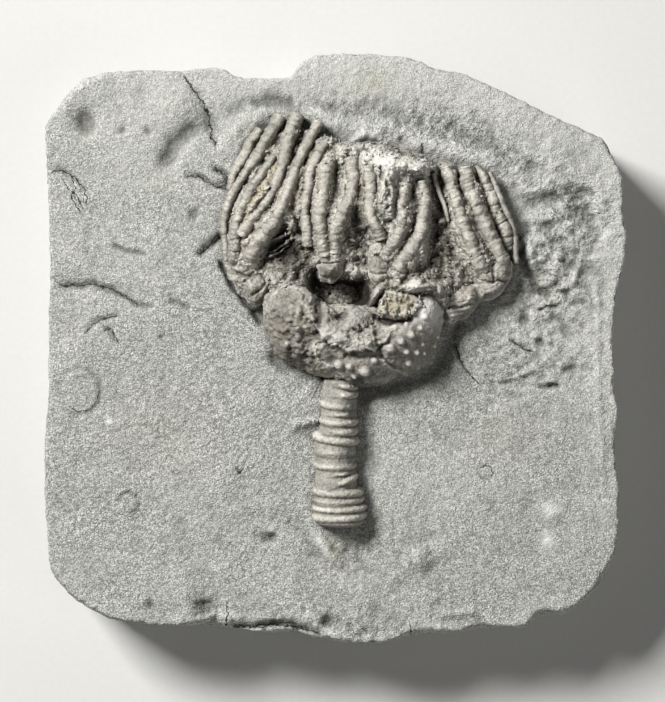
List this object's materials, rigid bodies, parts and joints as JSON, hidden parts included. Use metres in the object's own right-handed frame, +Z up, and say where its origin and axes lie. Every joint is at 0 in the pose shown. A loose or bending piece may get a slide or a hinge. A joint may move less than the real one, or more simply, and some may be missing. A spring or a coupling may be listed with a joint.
{
  "type": "crinoid fossil in a stone slab",
  "caption": "Flat slab of grey siltstone with a fossil crinoid standing out of it in relief: crown of arms, knobbed cup and ringed stem.",
  "frame": {"origin": "middle of the slab's flat underside, at the centre of the object's extents in X and Y", "axes": "+Z up out of the fossil's face, +X to the right and +Y towards the arms' tips when the fossil is looked at with the stem pointing down"},
  "size_m": [0.0848, 0.0858, 0.0238],
  "materials": {
    "siltstone": "fine gritty broken stone, dull",
    "fossil_calcite": "beige grey calcite, dull with a slight waxy sheen",
    "crushed_calcite": "rough brown grey crushed plates and hard rock"
  },
  "bodies": {
    "root": {"matrix_slab": "siltstone", "crushed_tegmen": "crushed_calcite", "calyx_cup": "fossil_calcite", "stem": "fossil_calcite", "left_ray_plates": "fossil_calcite", "left_fork_column": "fossil_calcite", "centre_left_plate": "fossil_calcite", "centre_right_plate": "fossil_calcite", "right_shoulder_plates": "fossil_calcite", "right_ray_plates": "fossil_calcite", "left_arm_1": "fossil_calcite", "left_arm_2": "fossil_calcite", "left_arm_3": "fossil_calcite", "left_arm_4": "fossil_calcite", "left_arm_5": "fossil_calcite", "centre_arm_1": "fossil_calcite", "centre_arm_2": "fossil_calcite", "centre_arm_3": "fossil_calcite", "centre_arm_4": "fossil_calcite", "centre_arm_5": "fossil_calcite", "centre_arm_6": "fossil_calcite", "right_arm_1": "fossil_calcite", "right_arm_2": "fossil_calcite", "right_arm_3": "fossil_calcite", "right_arm_4": "fossil_calcite", "right_arm_5": "fossil_calcite"}
  },
  "joints": []
}
